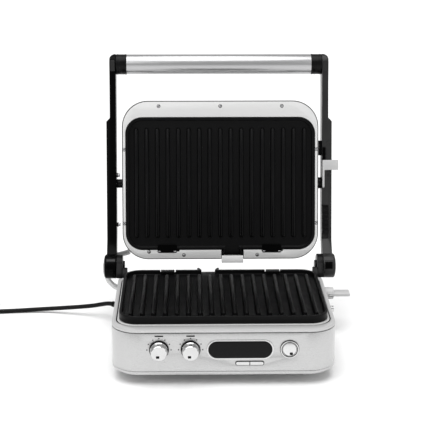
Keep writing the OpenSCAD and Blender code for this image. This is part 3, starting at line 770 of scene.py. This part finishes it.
def make_button_gap_shade():
    """Thin dark sheet of painted shade that outlines the pair of small buttons and shows in the gap between
    them.
    """
    shade_seat = rounded_slab("small_button_gap_shade", (41 * MM, 7 * MM), 3.4 * MM, 0, 0.3 * MM, steps=8)
    place_by(shade_seat, on_panel(36 * MM, 34 * MM))
    finished(shade_seat, "base", "black_plastic", look="painted_shade")


def make_lid_shadow_gap():
    """Thin black ring between the lid's dome and its bezel, painted shade of the gap between them."""
    width = 6 * MM
    ring = rounded_slab("lid_shadow_gap_ring", (LID_W, LID_D), LID_R, FACE_Z + 0.5 * MM, FACE_Z + 1.5 * MM,
                        LID_MIDDLE, steps=14)
    inside = rounded_slab("inside", (LID_W - 2 * width, LID_D - 2 * width), LID_R - width,
                          FACE_Z - 5 * MM, FACE_Z + 5 * MM, LID_MIDDLE, steps=14)
    cut(ring, inside)
    place_by(ring, ON_LID)
    # The black ring stands for the shadow in the gap, not for a real gasket
    finished(ring, "lid", "rubber")


def make_screws():
    """Cross-head screws of the bezel, each with painted shade, a dark ring round its head and a dark cross
    in its recess.
    """
    places = [(x, -123) for x in (-97.7, 0, 97.7)]
    places += [(side * 152.6, y) for side in (-1, 1) for y in (-54.5, 63)]
    places += [(-114, 108.3), (-58.5, 113.7), (58.5, 113.7)]
    head = turned("screw_head", [(0, 0.7 * MM), (1.2 * MM, 0.65 * MM), (2.0 * MM, 0.3 * MM), (2.1 * MM, 0),
                                 (0, 0)], (0, 0, 0), (0, 0, 1), 24)
    shade_seat = turned("screw_seat_shade", [(2.0 * MM, 0), (2.9 * MM, 0), (2.8 * MM, 0.15 * MM), (2.0 * MM, 0.15 * MM),
                                 (2.0 * MM, 0)], (0, 0, 0), (0, 0, 1), 24)
    slot = block("slot", (-1.3 * MM, -0.3 * MM, 0.5 * MM), (1.3 * MM, 0.3 * MM, 0.75 * MM))
    cross = joined([slot, copied(slot, Matrix.Rotation(math.pi / 2, 4, "Z"), "slot_b")], "cross")
    dark = joined([shade_seat, cross], "screw_shade")
    heads, darks = [], []
    for i, (x, y) in enumerate(places):
        down = ON_LID @ Matrix.Translation((x * MM, y * MM, FACE_Z)) @ Matrix.Rotation(math.pi, 4, "X")
        heads.append(copied(head, down @ Matrix.Rotation(0.4 * i, 4, "Z"), f"head_{i}"))
        darks.append(copied(dark, down @ Matrix.Rotation(0.4 * i, 4, "Z"), f"dark_{i}"))
    bpy.data.objects.remove(head)
    bpy.data.objects.remove(dark)
    finished(joined(heads, "bezel_screw_heads"), "lid", "pin_steel", "bezel_screws")
    finished(joined(darks, "bezel_screw_shade"), "lid", "black_plastic", look="painted_shade")


def make_latch_recesses():
    """Dark rounded sheet of painted shade in the recess round each upper latch, with the two steel ends of
    its spring.
    """
    for name, x in (("left", -85 * MM), ("right", 81.5 * MM)):
        recess = rounded_slab(name + "_latch_recess_shade", (31 * MM, 13 * MM), 2.4 * MM, FACE_Z - 0.35 * MM,
                              FACE_Z + 0.2 * MM, (x, 103.6 * MM), steps=5)
        place_by(recess, ON_LID)
        finished(recess, "lid", "black_plastic", look="painted_shade")
        ends = []
        for side in (-1, 1):
            at = x + side * 12.4 * MM
            ends.append(block("end", (at - 1.9 * MM, 107 * MM, FACE_Z - 0.9 * MM),
                              (at + 1.9 * MM, 108.6 * MM, FACE_Z - 0.3 * MM)))
        pair = joined(ends, name + "_spring_ends")
        rounded(pair, 0.2 * MM, 2)
        place_by(pair, ON_LID)
        finished(pair, "lid", "pin_steel")


def make_arm_studs():
    """Steel studs and black stops on the inner faces of the arms, beside the lid."""
    studs = []
    for y in (-13.5 * MM, 66 * MM):
        studs.append(turned("stud", [(0, 0), (3.3 * MM, 0), (3.5 * MM, 0.6 * MM), (3.5 * MM, 3 * MM),
                                     (2.4 * MM, 3.2 * MM), (2.4 * MM, 4.2 * MM), (3.2 * MM, 4.6 * MM),
                                     (2.9 * MM, 5.4 * MM), (0, 5.4 * MM)],
                            (-ARM_INNER, y, ARM_Z), (1, 0, 0), 32))
    studs = joined(studs, "left_arm_studs")
    place_by(studs, OPENED)
    finished(studs, "yoke", "pin_steel")
    stop = block("right_arm_stop", (ARM_INNER - 4.6 * MM, -68 * MM, ARM_Z - 6 * MM),
                 (ARM_INNER, -44 * MM, ARM_Z + 6 * MM))
    rounded(stop, 1.4 * MM, 3)
    place_by(stop, OPENED)
    finished(stop, "yoke", "black_plastic")
    # The catch is drawn in the painted-shade black, darker and duller than the black plastic it is made of
    catch = block("lid_lock_catch", (ARM_INNER + 0.6 * MM, -57 * MM, 101.6 * MM),
                  (ARM_INNER + 5.4 * MM, -37.2 * MM, 103.8 * MM))
    rounded(catch, 0.3 * MM, 2)
    place_by(catch, OPENED)
    finished(catch, "lid_lock", "black_plastic", look="painted_shade")


def make_arm_pads():
    """Facet on the front of each arm's end, beside the handle, coloured lighter as a painted highlight, and
    the grooved rings of the collars.
    """
    for name, side in (("left", -1), ("right", 1)):
        edges = sorted((side * 165.4 * MM, side * 172.4 * MM))
        pad = block(name + "_arm_pad_highlight", (edges[0], -195.5 * MM, 100.9 * MM),
                    (edges[1], -178.5 * MM, 104 * MM))
        rounded(pad, 0.6 * MM, 2)
        place_by(pad, OPENED)
        finished(pad, "yoke", "arm_black", look="arm_painted_highlight")
        rings = []
        for start, width in ((147.2, 2.2), (152.5, 0.8), (160.4, 2.4)):
            profile = [(15.6 * MM, 0), (16.3 * MM, 0.2 * MM), (16.3 * MM, width * MM - 0.2 * MM),
                       (15.6 * MM, width * MM), (15.6 * MM, 0)]
            rings.append(turned("ring", profile, (side * start * MM, HANDLE_Y, ARM_Z), (side, 0, 0), 64))
        ring = joined(rings, name + "_collar_rings")
        place_by(ring, OPENED)
        finished(ring, "yoke", "black_plastic")


def sector(name, x0, x1, r0, r1, low_deg, high_deg):
    """Part of a ring round the hinge axis, facing forward, between two angles above the level."""
    middle = ((x0 + x1) / 2, HINGE.y - (r0 + r1) / 2, HINGE.z)
    bpy.ops.mesh.primitive_plane_add(size=1, location=middle)
    piece = made(name)
    piece.scale = (x1 - x0, r1 - r0, 1)
    apply_place(piece)

    def sweep():
        bpy.ops.mesh.select_all(action="SELECT")
        bpy.ops.transform.rotate(value=math.radians(low_deg), orient_axis="X", center_override=HINGE)
        bpy.ops.mesh.spin(steps=14, angle=math.radians(high_deg - low_deg), center=HINGE, axis=(1, 0, 0))
        bpy.ops.mesh.select_all(action="SELECT")
        bpy.ops.mesh.normals_make_consistent(inside=False)

    editing(piece, sweep)
    return piece


def make_drum_details():
    """Raised bar with a painted highlight and a dark band of painted shade on the front of each hinge drum.
    """
    inner = 18.4 * MM
    for name, side in (("left", -1), ("right", 1)):
        edges = sorted((side * 165.6 * MM, side * 179.4 * MM))
        bar = sector(name + "_drum_bar_highlight", edges[0], edges[1], inner, 19.7 * MM, 41, 54)
        rounded(bar, 0.3 * MM, 2)
        finished(bar, "yoke", "arm_black", look="arm_painted_highlight")
        edges = sorted((side * 166.4 * MM, side * 178 * MM))
        shade_band = sector(name + "_drum_band_shade", edges[0], edges[1], inner, 19.2 * MM, 2, 36)
        finished(shade_band, "yoke", "arm_black", look="painted_shade")


# ---- Heater lead --------------------------------------------------------------------------------------

LEAD_ROUTE = [(-142, 119.7, 56), (-147.5, 127.3, 55), (-155, 136.5, 53), (-164.5, 146, 51.5),
              (-174, 153, 55.5), (-181, 159, 64), (-184, 164, 77), (-182, 168, 88), (-174, 169.5, 95.5),
              (-163, 168.5, 99.5), (-153, 167, 102.5), (-145, 165, 105.5)]


def make_heater_lead():
    """Steel tube from the base to the left arm, in one fixed shape."""
    lead = smooth_tube("heater_lead_tube", LEAD_ROUTE, 4.3 * MM, 8)
    only(lead)
    bpy.ops.object.convert(target="MESH")
    lead = bpy.context.object
    smoothed(lead, 40)
    lead.data.materials.clear()
    lead.data.materials.append(MATERIALS["tube_satin"])
    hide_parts("heater_conduit")
    deselect()
    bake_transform(lead)


# ---- Everything --------------------------------------------------------------------------------------

MATERIALS = make_materials()
make_camera()
make_light()
make_floor()
plug = make_plug()
tie = finished(softened("cord_tie", 0.2 * MM), "base", "rubber", "cord_tie")
cord = make_cord()
make_plates()
make_lid_shell()
make_knob("left_control_knob", LEFT_KNOB_X, "knob_left", "left_knob")
make_knob("right_control_knob", RIGHT_KNOB_X, "knob_right", "right_knob")
marks = joined(make_dial_dots(LEFT_KNOB_X) + make_dial_dots(RIGHT_KNOB_X), "dial_marks")
finished(marks, "base", "black_plastic")
make_start_details()
make_button_gap_shade()
make_lid_shadow_gap()
make_screws()
make_latch_recesses()
make_arm_studs()
make_arm_pads()
make_drum_details()

make_heater_lead()

# Width of the rounded edge, in millimetres, on a copy of each node whose CAD shape is kept
SOFT_EDGES = {
    "base_wrap": 0.4, "deck_ring": 0.5, "bottom_pan": 0.8, "feet": 0.8, "rear_panel": 0.4,
    "lid_bezel": 0.35, "left_arm": 1.0, "right_arm": 0.8, "handle_tube": 0.4, "handle_collars": 0.8,
    "left_hinge_bracket": 0.6, "right_hinge_bracket": 0.6, "hinge_caps": 0.5, "lid_lock_tab": 0.9,
    "flat_release_lever": 1.2, "drip_tray": 0.6, "lower_latch_bar": 0.4, "upper_latch_bar": 0.4,
    "upper_spout": 0.25, "display_trim": 0.25, "display_window": 0.2, "start_ring": 0.4,
    "start_button": 0.4, "left_small_button": 0.25, "right_small_button": 0.25, "knob_rings": 0.3,
    "hinge_lock_slider": 0.3, "lower_release_button": 0.4, "lid_pivot_bushes": 0.4, "cord_relief": 0.3,
    "conduit_glands": 0.3,
}
node_slot = {row["node"]: row["material_slot"] for row in frame["record"]["subparts"]}
node_body = {node: body for body, nodes in frame["record"]["behaviour"]["bodies"].items() for node in nodes}
# The right arm gets the lighter arm black as a painted highlight, for the light on its side; the left arm
# keeps the plain arm black
LOOKS = {"deck_ring": "deck_steel", "upper_spout": "spout_steel", "right_arm": "arm_painted_highlight",
         "hinge_pins": "black_plastic"}
for node, width in SOFT_EDGES.items():
    finished(softened(node, width * MM), node_body[node], node_slot[node], node, look=LOOKS.get(node))

for node, piece in frame["nodes"].items():
    piece.data.materials.clear()
    piece.data.materials.append(MATERIALS[LOOKS.get(node, node_slot[node])])
